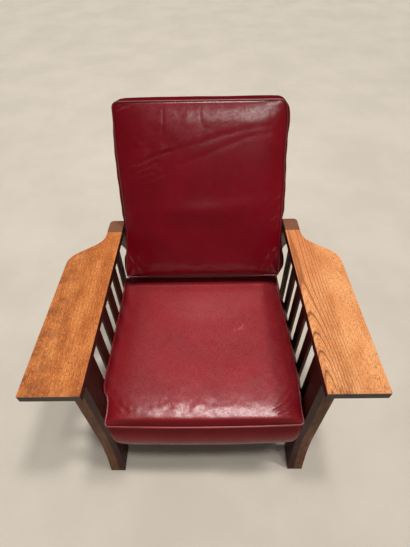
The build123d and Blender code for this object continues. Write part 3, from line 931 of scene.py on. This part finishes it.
@dataclass
class Woodwork:
    """Every wooden CAD node, with eased edges and the oak that its grain asks for.

    The arms sink by the fall for each metre back, their inner edges stand arm_inner from the
    chair's middle and the side frames' inner faces stand inner_face from it. The colours are what
    wear, grime and age lay over the oak, besides painted shade, a painted red reflection and a
    painted highlight on some faces, named for where they go.
    """

    easing: float = 0.0016
    steps: int = 2
    sharp: float = np.radians(38.0)
    weld: float = 0.00002
    rake: float = np.radians(35.0)
    fall: float = 0.0734
    arm_inner: float = 0.283
    arm_length: float = 0.6300
    inner_face: float = 0.3110
    leg_height: float = 0.5955
    # The next colour is painted shade with the leather's painted red reflection, on the faces
    # that look into the chair.
    inward_shade_red: Colour = (0.030, 0.004, 0.003)
    end_grain: Colour = (0.240, 0.100, 0.055)
    grime: Colour = (0.12, 0.04, 0.014)
    tail_end: Colour = (0.04, 0.015, 0.007)
    # Pale arris colour: partly rubbed wear, partly a painted highlight.
    rubbed: Colour = (0.95, 0.58, 0.30)
    # The next two colours are painted shade on the faces below an arm's top and on its inner
    # side.
    painted_rim_shade: Colour = (0.036, 0.016, 0.009)
    inner_rim_painted_shade: Colour = (0.030, 0.006, 0.004)
    stain: Colour = (0.17, 0.048, 0.014)
    scuff: Colour = (0.92, 0.52, 0.24)
    dash: Colour = (0.15, 0.042, 0.013)
    red_tail: Colour = (0.62, 0.17, 0.055)

    def finishes(self) -> dict[str, Oak]:
        """Choose the oak for each group of nodes.

        Returns:
            Oak by a part of the nodes' names.
        """
        lengthwise = (0.0, np.cos(SLOPE), -np.sin(SLOPE))
        raked = (0.0, np.sin(self.rake), -np.cos(self.rake))
        leaned = (0.0, np.sin(RECLINE), np.cos(RECLINE))
        brown = {"pale": (0.255, 0.096, 0.036), "warm": (0.170, 0.056, 0.019),
                 "dark": (0.028, 0.011, 0.006), "gloss": 0.15, "roughness": 0.5}
        plain = {"pale": (0.30, 0.18, 0.10), "warm": (0.22, 0.12, 0.06),
                 "dark": (0.09, 0.045, 0.025)}
        upright = Oak("oak_upright", UPWARD, **brown, pith=(0.36, 0.05), wear=self.paint_inward_shade)
        along = Oak("oak_lengthwise", lengthwise, **brown, pith=(0.02, 0.16),
                    wear=self.paint_inward_shade)
        crosswise = Oak("oak_crosswise", ACROSS, **brown, pith=(0.09, 0.12))
        leg = Oak("oak_rear_leg", raked, **brown, pith=(0.30, 0.05), wear=self.leg_top)
        back = Oak("oak_back", leaned, **brown, pith=(0.05, 0.07))
        boards = Oak("oak_boards", ACROSS, **plain, pith=(0.2, 0.1), roughness=0.62)
        left = Oak("oak_left_arm", lengthwise, pale=(0.750, 0.265, 0.072),
                   warm=(0.540, 0.150, 0.032), dark=(0.140, 0.036, 0.010), pith=(-0.52, -0.30),
                   ring=0.0050, line_strength=0.28, pore_strength=0.55, dash_strength=0.72,
                   blotch_strength=0.26, wear=self.left_arm_wear_and_shade)
        right = Oak("oak_right_arm", lengthwise, pale=(0.960, 0.425, 0.165),
                    warm=(0.810, 0.300, 0.098), dark=(0.165, 0.048, 0.014),
                    pith=(0.293, -0.6025), slant=0.125, start=-0.507, reach=0.29, ring=0.0070,
                    wander=0.006, ripple=0.0022, line_strength=0.80, pore_strength=0.40,
                    dash_strength=0.56, blotch_strength=0.18, line_mask=self.inner_lines,
                    wear=self.right_arm_wear_and_shade)
        groups = (
            (left, "left_arm"), (right, "right_arm"), (leg, "rear_leg"), (back, "back_stile"),
            (upright, "front_leg", "side_slat"), (along, "top_rail", "seat_rail", "pivot_block"),
            (boards, "seat_board", "seat_cleat"),
            (crosswise, "front_rail", "cross_rail", "rear_stretcher", "crest_rail",
             "low_back_rail", "back_slat", "support_rod", "rod_cap"),
        )
        return {key: oak for oak, *keys in groups for key in keys}

    @classmethod
    def paint_inward_shade(cls, shader: Shader, place: Value, colour: Value) -> Value:
        """Paint shade and the leather's red reflection on the faces that look into the chair."""
        inward_shade_mask = abs(shader.dot(place, ACROSS)).smooth(cls.inner_face, cls.inner_face - 0.004)
        return shader.mix(inward_shade_mask * 0.85, colour, cls.inward_shade_red)

    @classmethod
    def leg_top(cls, shader: Shader, place: Value, colour: Value) -> Value:
        """Grey the end grain on top of the rear legs."""
        top = shader.dot(place, UPWARD).smooth(cls.leg_height - 0.0075, cls.leg_height)
        return shader.mix(top * 0.75, colour, cls.end_grain)

    @staticmethod
    def inner_lines(shader: Shader, place: Value) -> Value:
        """Keep the growth lines to the inner half of the arm."""
        return shader.dot(place, ACROSS).smooth(0.385, 0.335) * 0.85 + 0.15

    @classmethod
    def edge_wear_and_shade(cls, shader: Shader, place: Value, colour: Value, across: Value) -> Value:
        """Darken an arm's ends, paint shade below its top, and pale its arrises: partly rubbed
        wear, partly a painted highlight.

        Args:
            shader: The shader in hand.
            place: Object coordinates.
            colour: The colour so far.
            across: Distance from the middle of the chair.

        Returns:
            The colour with its painted rim shade and pale arrises drawn in.
        """
        low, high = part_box("right_arm")
        along = shader.dot(place, REARWARD) - low[1]
        height = shader.dot(place, UPWARD) + along * cls.fall - high[2]
        grime = shader.noise(place, 55.0, 4.0, 0.65).smooth(0.46, 0.66)
        colour = shader.mix(along.smooth(0.05, 0.0) * grime * 0.4, colour, cls.grime)
        tail = along.smooth(cls.arm_length, cls.arm_length + 0.0035)
        colour = shader.mix(tail * 0.8, colour, cls.tail_end)
        # Pale arrises: partly rubbed wear, partly a painted highlight of the eased edge.
        arris_wear_and_highlight = height.smooth(-0.0002, -0.0007) * grime.smooth(1.0, 0.2)
        colour = shader.mix(arris_wear_and_highlight * 0.6, colour, cls.rubbed)
        # Painted shade on the faces below the top, darkest on the inner side.
        below = height.smooth(-0.0016, -0.0035)
        colour = shader.mix(below, colour, cls.painted_rim_shade)
        inward_shade_mask = (across - cls.arm_inner).smooth(0.0012, 0.0004)
        return shader.mix(inward_shade_mask * below, colour, cls.inner_rim_painted_shade)

    @classmethod
    def left_arm_wear_and_shade(cls, shader: Shader, place: Value, colour: Value) -> Value:
        """Lay brown blotches and pale scuffs over the left arm's outer edge and shoulder, and
        paint shade on its rims.

        Args:
            shader: The shader in hand.
            place: Object coordinates.
            colour: The colour so far.

        Returns:
            The colour with its wear, painted shade and painted highlight.
        """
        across = shader.dot(place, (-1.0, 0.0, 0.0))
        stain = shader.noise(place, 30.0, 6.0, 0.75).smooth(0.44, 0.62)
        stain = across.smooth(0.345, 0.425) * stain
        colour = shader.mix(stain * 0.60, colour, cls.stain)
        scuff = shader.noise(place, 170.0, 4.0, 0.8, 0.8).smooth(0.57, 0.66)
        scuff = across.smooth(0.345, 0.400) * scuff
        colour = shader.mix(scuff * 0.55, colour, cls.scuff)
        return cls.edge_wear_and_shade(shader, place, colour, across)

    @classmethod
    def right_arm_wear_and_shade(cls, shader: Shader, place: Value, colour: Value) -> Value:
        """Lay dark dashes along the right arm's outer edge, redden its tail and paint shade on
        its rims.

        Args:
            shader: The shader in hand.
            place: Object coordinates.
            colour: The colour so far.

        Returns:
            The colour with its wear, painted shade and painted highlight.
        """
        across, along = shader.dot(place, ACROSS), shader.dot(place, REARWARD)
        drawn = shader.vector(across, along * 0.4, 0.0)
        stain = shader.noise(drawn, 150.0, 4.0, 0.7).smooth(0.56, 0.68)
        stain = across.smooth(0.360, 0.42) * stain
        colour = shader.mix(stain * 0.75, colour, cls.dash)
        tail = along.smooth(-0.32, 0.10) * across.smooth(0.42, 0.30)
        colour = shader.mix(tail * 0.42, colour, cls.red_tail)
        return cls.edge_wear_and_shade(shader, place, colour, across)

    def ease(self, node: bpy.types.Object) -> None:
        """Round a node's sharp edges with live modifiers.

        Args:
            node: A wooden node.
        """
        node.modifiers.new("join", "WELD").merge_threshold = self.weld
        bevel = node.modifiers.new("ease", "BEVEL")
        bevel.width = self.easing
        bevel.segments = self.steps
        bevel.limit_method = "ANGLE"
        bevel.angle_limit = self.sharp
        bevel.harden_normals = False
        bevel.use_clamp_overlap = True

    def dress(self, nodes: dict[str, bpy.types.Object]) -> None:
        """Give each wooden node its oak.

        Args:
            nodes: The CAD nodes by name.
        """
        made: dict[str, bpy.types.Material] = {}
        for key, oak in self.finishes().items():
            for name in (name for name in nodes if key in name):
                if oak.name not in made:
                    made[oak.name] = oak.make()
                paint(nodes[name], made[oak.name])
                if "rod" not in name:
                    self.ease(nodes[name])
        LOG.info("woodwork: %d finishes", len(made))


def paint(node: bpy.types.Object, material: bpy.types.Material) -> None:
    """Give every slot of a node one material.

    Args:
        node: The node.
        material: Its material.
    """
    if not node.material_slots:
        node.data.materials.append(material)
    for slot in node.material_slots:
        slot.material = material


@dataclass
class Fittings:
    """Bolts, nuts, washers, screws and glides."""

    names: tuple[str, ...] = ("pivot_bolts", "pivot_nuts", "pivot_washers", "cleat_screws",
                              "foot_glides")

    def dress(self, nodes: dict[str, bpy.types.Object]) -> None:
        """Give the steel nodes their finish.

        Args:
            nodes: The CAD nodes by name.
        """
        steel = Steel("steel").make()
        for name in self.names:
            paint(nodes[name], steel)
        LOG.info("fittings: %d nodes", len(self.names))


RED = Leather("leather_seat", (0.255, 0.008, 0.014), (0.315, 0.012, 0.019), (0.62, 0.30, 0.28),
              gloss=0.12, coat_roughness=0.315, coat_ior=1.68)
WINE = Leather("leather_back", (0.166, 0.001, 0.006), (0.206, 0.002, 0.010), (0.50, 0.22, 0.22),
               gloss=0.05, coat_roughness=0.23, coat_ior=1.62)
WELT = {"roughness": 0.34, "gloss": 0.7, "ripple": 0.2, "crumple": 0.10, "coat": 0.0}
SEAT_WELT = Leather("leather_seat_welt", (0.22, 0.006, 0.010), (0.31, 0.014, 0.018),
                    (0.6, 0.3, 0.3), **WELT)
BACK_WELT = Leather("leather_back_welt", (0.12, 0.002, 0.005), (0.18, 0.004, 0.009),
                    (0.5, 0.25, 0.25), **WELT)


def creases(*rows: tuple) -> tuple[Crease, ...]:
    """Creases from rows of points, depth, width and, where it has one, the side of the lip."""
    return tuple(Crease(*row) for row in rows)


def seat_cushion() -> Cushion:
    """Lay out the seat cushion.

    It droops over the front rail, fills the space between the legs in front and between the slats
    behind, and rises towards its rear end.

    Returns:
        The cushion.
    """
    return Cushion(
        name="seat", body="chair_frame",
        origin=Vector((0.0, -0.427394, 0.262214)),
        along=Vector((0.0, np.cos(SLOPE), -np.sin(SLOPE))),
        up=Vector((0.0, np.sin(SLOPE), np.cos(SLOPE))),
        seam_mm=((-9, -287, 282, 112), (6, -286, 281, 118), (26, -284, 280, 124),
                 (48, -284, 279, 133), (66, -287, 279, 141), (82, -297, 279, 146),
                 (100, -301, 279, 149), (150, -301, 279, 151), (220, -300, 279, 152),
                 (323, -300, 276, 152), (441, -299, 271, 153), (510, -297, 268, 171),
                 (533, -295, 267, 176)),
        low_seam_mm=((14, -276, 276, -42), (30, -282, 282, -46), (46, -284, 284, -40),
                     (62, -285, 285, -18), (82, -288, 289, -3), (104, -294, 294, 2),
                     (290, -296, 296, 2), (430, -294, 294, 2), (499, -290, 290, 3)),
        spine_mm=((-9, 112), (-8.6, 121), (-8, 131), (-6.5, 138.5), (-4, 143), (0, 145.8),
                  (5, 148), (13.5, 151.1), (22, 153.5), (31, 155.4), (45, 157.6), (70, 160),
                  (100, 161.7), (160, 164), (290, 168), (430, 174), (480, 180), (510, 185),
                  (523, 185), (530, 182), (533, 176)),
        under_mm=((14, -42), (30, -46), (46, -40), (62, -16), (82, -2), (104, 1.5),
                  (499, 1.5)),
        puff_mm=((-8, 1, 4), (40, 1, 5), (66, 1, 8), (100, 2, 20), (200, 3, 22),
                 (420, 3, 27), (500, 3, 29), (533, 3, 24)),
        end_puff_mm=(21.0, 3.0), puff_peak=1.5, draw_mm=16.0, bow_mm=5.0, low_dull_and_shaded=0.2,
        corner_mm=(10.0, 9.0), roll_mm=24.0, dull_and_shaded_mm=2.0, leather=RED,
        welt_leather=SEAT_WELT,
        creases=creases(
            (((-112, 52), (-100, 34), (-92, 20)), 0.7, 4.0, Side.LEFT),
            (((-40, 46), (-34, 32), (-30, 20)), 0.5, 4.0, Side.LEFT),
            (((2, 44), (8, 30), (12, 18)), 0.5, 4.0),
            (((-256, 44), (-238, 28), (-214, 12)), 1.6, 5.0, Side.LEFT),
            (((-262, 28), (-240, 12)), 1.2, 4.0, Side.LEFT),
            (((-300, 70), (-284, 78), (-262, 70)), 3.0, 7.0, Side.RIGHT),
            (((190, 10), (212, 20), (234, 34), (258, 58)), 1.6, 3.6, Side.LEFT),
            (((206, 4), (228, 12), (256, 30)), 1.5, 3.0, Side.LEFT),
            (((222, 2), (244, 7), (266, 12)), 1.2, 2.6, Side.LEFT),
            (((206, 34), (232, 54), (256, 84)), 0.9, 4.5, Side.LEFT),
            (((150, 486), (164, 502), (176, 512), (190, 498)), 0.8, 3.5),
            (((186, 252), (222, 284), (254, 308)), 0.6, 9.0),
            (((190, 190), (226, 222), (256, 242)), 0.6, 9.0),
            (((188, 104), (228, 138)), 0.6, 8.0),
        ),
        marks=creases(
            (((104, 290), (118, 293), (128, 305), (134, 316)), 0.5, 1.5),
            (((96, 277), (102, 300)), 0.2, 2.0),
            (((118, 288), (142, 300)), 0.22, 1.4),
        ),
        swells=((-120, 380, 90, 70, 1.2), (60, 200, 80, 60, -1.2), (-60, 120, 70, 50, 1.0),
                (130, 120, 60, 50, 1.0), (0, 300, 120, 60, 1.2)),
        # Painted shade: a band of painted shadow along the rear end, under the back cushion, and
        # the left side painted darker.
        shades=creases(
            (((-900, 538), (900, 538)), 1.2, 17.0),
            (((-290, 1100), (-290, -500)), 0.34, 150.0),
        ),
        rumples=((-10, 20, 330, 32, 0.8), (0, 110, 300, 60, 0.4), (250, 250, 30, 230, 0.5)),
    )


def back_cushion() -> Cushion:
    """Lay out the back cushion.

    It lies flat against the back frame, its sides puffed out past their welts but held in where
    it passes between the arms.

    Returns:
        The cushion.
    """
    out = np.array([0.0, -np.cos(RECLINE), np.sin(RECLINE)])
    up = np.array([0.0, np.sin(RECLINE), np.cos(RECLINE)])
    pivot = np.array([0.0, 0.080606, 0.188])
    before_pivot, above_pivot = 0.0125, 0.226
    origin = pivot + out * before_pivot + up * above_pivot
    return Cushion(
        name="back", body="back_rest",
        origin=Vector(origin), along=Vector(up), up=Vector(out),
        seam_mm=((6, -276, 266, 108), (24, -277, 265, 109), (51, -275, 264, 110),
                 (88, -270, 264, 110), (143, -266, 264, 110), (191, -264, 264, 110),
                 (242, -265, 265, 110), (330, -270, 267, 110), (406, -274, 265, 110),
                 (469, -276, 266, 110), (521, -276, 268, 111), (559, -276, 264, 114),
                 (583, -277, 260, 117)),
        low_seam_mm=((10, -266, 264, 4), (60, -268, 266, 3), (300, -266, 266, 3),
                     (540, -268, 268, 3), (583, -266, 262, 4)),
        spine_mm=((6, 108), (10, 114), (17, 120), (30, 125), (60, 129), (120, 131.5),
                  (180, 132.5), (235, 132.5), (290, 131.5), (380, 130), (450, 128.5),
                  (520, 126.5), (552, 124), (569, 121.5), (578, 119.5), (583, 117)),
        under_mm=((10, 3), (60, 1.5), (540, 1.5), (583, 3)),
        puff_mm=((6, 17, 28), (24, 20, 31), (60, 19, 28), (90, 12, 20), (140, 12, 15),
                 (170, 13, 14), (206, 16, 14), (240, 20, 18), (330, 20, 16), (460, 18, 15),
                 (520, 14, 17), (560, 12, 20), (583, 10, 16)),
        end_puff_mm=(9.0, 17.0), puff_peak=0.8,
        corner_mm=(8.0, 19.0), roll_mm=34.0, draw_mm=14.0, leather=WINE, welt_leather=BACK_WELT,
        creases=creases(
            (((-117, 577), (-120, 553), (-120, 530), (-126, 482)), 0.4, 3.0),
            (((-1, 575), (-5, 551), (-2, 528), (5, 500)), 0.3, 4.0),
            (((-252, 394), (-200, 402), (-167, 417), (-134, 429), (-86, 441)), 1.5, 5.0,
             Side.LEFT),
            (((-134, 429), (-6, 461), (57, 481), (120, 494), (182, 505), (232, 511)), 0.34, 8.0,
             Side.LEFT),
            (((-121, 377), (-72, 395), (-7, 418), (82, 453), (136, 474), (189, 485), (245, 493)),
             0.36, 9.0, Side.LEFT),
            (((-218, 378), (-185, 387), (-162, 399), (-135, 411)), 1.6, 4.0, Side.LEFT),
            (((-250, 350), (-203, 362), (-170, 374), (-144, 374)), 1.4, 4.0, Side.LEFT),
            (((-205, 340), (-171, 349), (-138, 361), (-111, 373)), 0.9, 6.0),
            (((-223, 443), (-191, 445), (-165, 451)), 0.7, 5.0),
            (((-275, 555), (-250, 568), (-227, 577)), 1.8, 3.5, Side.RIGHT),
            (((-255, 579), (-237, 571)), 1.2, 3.5),
            (((197, 252), (240, 275), (266, 288)), 1.1, 7.0, Side.LEFT),
            (((203, 184), (233, 205), (260, 221)), 0.9, 7.0, Side.LEFT),
            (((214, 62), (248, 98), (272, 124)), 1.4, 7.0, Side.LEFT),
            (((205, 32), (229, 62), (242, 92)), 1.0, 6.0),
            (((-266, 84), (-247, 50), (-224, 23)), 2.0, 5.0, Side.LEFT),
            (((-259, 120), (-232, 68), (-191, 38)), 1.1, 8.0),
        ),
        # Painted shade darkening the left side.
        shades=creases((((-280, 1100), (-280, -400)), 0.20, 140.0)),
        swells=((-15, 240, 115, 36, 4.6), (150, 262, 70, 26, 1.4), (-60, 480, 70, 60, 1.0),
                (110, 530, 90, 40, 1.0), (-140, 130, 70, 60, 1.0), (60, 110, 120, 50, -1.0),
                (180, 400, 60, 90, 0.8)),
        rumples=((0, 575, 300, 90, 0.25), (-200, 400, 90, 90, 0.8), (240, 300, 40, 250, 0.6),
                 (0, 40, 280, 40, 0.6)),
    )


# The room


@dataclass
class Studio:
    """Pale floor, soft lights and the camera. Each row of lamps holds what sky takes."""

    eye: Sequence[float] = (0.0135, -0.840394, 1.4665)
    pitch: float = 47.49
    roll: float = 1.18
    yaw: float = -0.64
    focal_px: float = 379.0
    long_side_px: float = 547.0
    sensor: float = 36.0
    near: float = 0.01
    floor_half: float = 12.0
    floor_colour: Colour = (0.60, 0.54, 0.46)
    sky_colour: Colour = (1.0, 0.985, 0.97)
    sky_strength: float = 0.03
    seen_strength: float = 0.62
    mirrored_strength: float = 0.03
    window_place: Sequence[float] = (1.0, -3.2, 4.4)
    window_aim: Sequence[float] = (0.0, 0.6, 1.3)
    window_size: Point = (3.0, 1.1)
    window_watts: float = 3.7
    window_grid: float = 34.0
    window_colour: Colour = (1.0, 0.97, 0.93)
    lamp_colour: Colour = (1.0, 0.985, 0.96)
    lamps: tuple[tuple[str, float, float, float, float], ...] = (
        ("right", 70.0, -2.0, 6.0, 1.04),
        ("above", 88.0, 90.0, 6.0, 0.88),
        ("front", 80.0, -83.0, 6.0, 0.58),
        ("front_right", 75.0, -48.0, 6.0, 0.47),
        ("ceiling", 88.0, 90.0, 90.0, 0.42),
        ("rear", 36.0, 95.0, 70.0, 0.15),
    )

    def camera(self) -> None:
        """Stand the camera where the photograph was taken.

        The view direction comes from the yaw and the pitch down; the roll turns the picture.
        """
        pitch, roll, yaw = np.radians([self.pitch, self.roll, self.yaw])
        ahead = np.array([np.sin(yaw) * np.cos(pitch), np.cos(yaw) * np.cos(pitch),
                          -np.sin(pitch)])
        right = np.array([np.cos(yaw), -np.sin(yaw), 0.0])
        down = np.cross(ahead, right)
        turned_right = np.cos(roll) * right + np.sin(roll) * down
        turned_down = -np.sin(roll) * right + np.cos(roll) * down
        data = bpy.data.cameras.new("camera")
        data.sensor_width = self.sensor
        data.lens = self.focal_px * self.sensor / self.long_side_px
        data.clip_start = self.near
        camera = bpy.data.objects.new("camera", data)
        turn = np.stack([turned_right, -turned_down, -ahead], 1)
        camera.matrix_world = Matrix.LocRotScale(Vector(self.eye), Matrix(turn.tolist()), None)
        bpy.context.scene.collection.objects.link(camera)
        bpy.context.scene.camera = camera

    @staticmethod
    def hang(data: bpy.types.Light, power: float, colour: Colour,
             ahead: Vector) -> bpy.types.Object:
        """Put a lamp in the scene.

        Args:
            data: The lamp.
            power: Its strength.
            colour: Its colour.
            ahead: Where its light goes.

        Returns:
            The lamp's object, still at the origin.
        """
        data.energy = power
        data.color = colour
        lamp = bpy.data.objects.new(data.name, data)
        lamp.rotation_euler = ahead.to_track_quat("-Z", "Y").to_euler()
        bpy.context.scene.collection.objects.link(lamp)
        return lamp

    def window(self) -> None:
        """Hang a rectangular lamp behind a grid that keeps its light within some degrees."""
        data = bpy.data.lights.new("window", "AREA")
        data.shape = "RECTANGLE"
        data.size, data.size_y = self.window_size
        data.spread = np.radians(self.window_grid)
        ahead = Vector(self.window_aim) - Vector(self.window_place)
        lamp = self.hang(data, self.window_watts, self.window_colour, ahead)
        lamp.location = self.window_place

    def sky(self, name: str, height: float, bearing: float, spread: float,
            power: float) -> None:
        """Light everything evenly from a part of the sky.

        Args:
            name: The lamp's name.
            height: Degrees above level.
            bearing: Degrees from the right, counted towards the rear.
            spread: Degrees that the light fills.
            power: Its strength.
        """
        data = bpy.data.lights.new(name, "SUN")
        data.angle = np.radians(spread)
        rise, turn = np.radians([height, bearing])
        source = Vector((np.cos(rise) * np.cos(turn), np.cos(rise) * np.sin(turn),
                         np.sin(rise)))
        self.hang(data, power, self.lamp_colour, -source)

    def floor(self) -> None:
        """Spread a plain floor, four corners far away."""
        corners = np.array([(-1, -1, 0), (1, -1, 0), (1, 1, 0), (-1, 1, 0)]) * self.floor_half
        floor = make_object("floor", corners, np.array([[0, 1, 2, 3]]))
        shader = Shader("floor")
        place = shader.place()
        tone = shader.noise(place, 2.2, 3.0, 0.6).smooth(0.3, 0.7)
        pile = shader.noise(place, 260.0, 2.0, 0.7)
        dark, pale = (tuple(c * k for c in self.floor_colour) for k in (0.90, 1.10))
        colour = shader.mix(tone * 0.5 + pile * 0.5, dark, pale)
        floor.data.materials.append(shader.finish(pile, 1.5 * MM, Base_Color=colour,
                                                  Roughness=0.95))

    def world(self) -> bpy.types.World:
        """Make a dim sky whose background looks pale to the camera.

        Returns:
            The world.
        """
        shader = Shader("world", "worlds")
        seen = shader.node("LightPath", output="Is Camera Ray") + shader.node(
            "LightPath", output="Is Transmission Ray")
        mirrored = shader.node("LightPath", output="Is Glossy Ray")
        strength = (seen.math("MINIMUM", 1.0) * self.seen_strength
                    + mirrored * self.mirrored_strength + self.sky_strength)
        sky = shader.node("Background", None, {"Color": (*self.sky_colour, 1.0),
                                               "Strength": strength})
        shader.node("OutputWorld", None, {"Surface": sky})
        return shader.owner

    def build(self) -> None:
        """Set up the whole room."""
        scene = bpy.context.scene
        scene.view_settings.view_transform = "Standard"
        scene.world = self.world()
        self.camera()
        self.floor()
        self.window()
        for lamp in self.lamps:
            self.sky(*lamp)
        LOG.info("studio ready")


def main() -> None:
    """Build the chair's looks piece by piece."""
    logging.basicConfig(level=logging.INFO, format="%(message)s")
    Studio().build()
    Woodwork().dress(frame["nodes"])
    Fittings().dress(frame["nodes"])
    seat_cushion().build()
    back_cushion().build()


if __name__ == "__main__":
    main()
